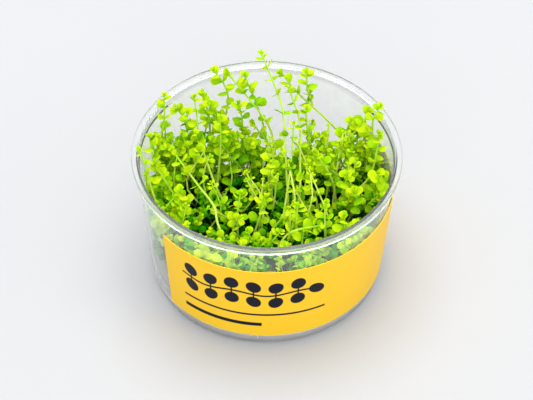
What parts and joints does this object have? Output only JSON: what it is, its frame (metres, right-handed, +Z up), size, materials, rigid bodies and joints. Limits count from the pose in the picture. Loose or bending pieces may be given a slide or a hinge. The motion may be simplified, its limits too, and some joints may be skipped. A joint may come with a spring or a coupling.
{
  "type": "monte carlo carpet plant",
  "caption": "Carpet-forming aquarium plant with small round leaves on thin stems, growing from gel in an open clear round culture cup with a plain yellow label.",
  "frame": {"origin": "centre of the cup's base ring, on the surface that it stands on", "axes": "+Z up along the cup's axis, -Y towards the side that the label faces, +X to the right as the label is seen"},
  "size_m": [0.1, 0.1, 0.0718],
  "materials": {
    "clear_plastic": "clear thin-walled moulded plastic, glossy, slightly hazy",
    "printed_label": "warm yellow coated paper with plain dark navy bars, satin",
    "gel": "pale clear nutrient gel, wet",
    "low_growth": "soft fleshy leaves on pale stems, deep green between the plantlets",
    "shoot": "soft fleshy bright yellow-green leaves on pale stems, satin, lets light through"
  },
  "bodies": {
    "root": {"cup": "clear_plastic", "label": "printed_label", "culture_gel": "gel", "carpet_mat": "low_growth", "shoot_back_tallest": "shoot", "shoot_back_long_right": "shoot", "shoot_back_left": "shoot", "shoot_back_middle": "shoot", "shoot_back_upright": "shoot", "shoot_back_thin": "shoot", "shoot_back_column": "shoot", "shoot_back_centre": "shoot", "shoot_back_low": "shoot", "shoot_left_tall": "shoot", "shoot_left_fork": "shoot", "shoot_left_long": "shoot", "shoot_left_twin": "shoot", "shoot_left_tuft": "shoot", "shoot_left_bright": "shoot", "shoot_left_pair": "shoot", "shoot_left_edge": "shoot", "shoot_left_arch": "shoot", "shoot_right_round": "shoot", "shoot_right_edge": "shoot", "shoot_right_low": "shoot", "shoot_right_long": "shoot", "shoot_right_outer": "shoot", "shoot_right_front": "shoot", "shoot_middle_tall": "shoot", "shoot_middle_arch": "shoot", "shoot_middle_lean": "shoot", "shoot_middle_curve": "shoot", "shoot_middle_bud": "shoot", "shoot_middle_double": "shoot", "shoot_middle_diagonal": "shoot", "shoot_middle_up": "shoot", "shoot_front_left": "shoot", "shoot_front_lean": "shoot", "shoot_front_curl": "shoot", "shoot_front_flat": "shoot", "shoot_front_tall": "shoot", "shoot_front_cross": "shoot", "shoot_back_fork": "shoot"}
  },
  "joints": []
}
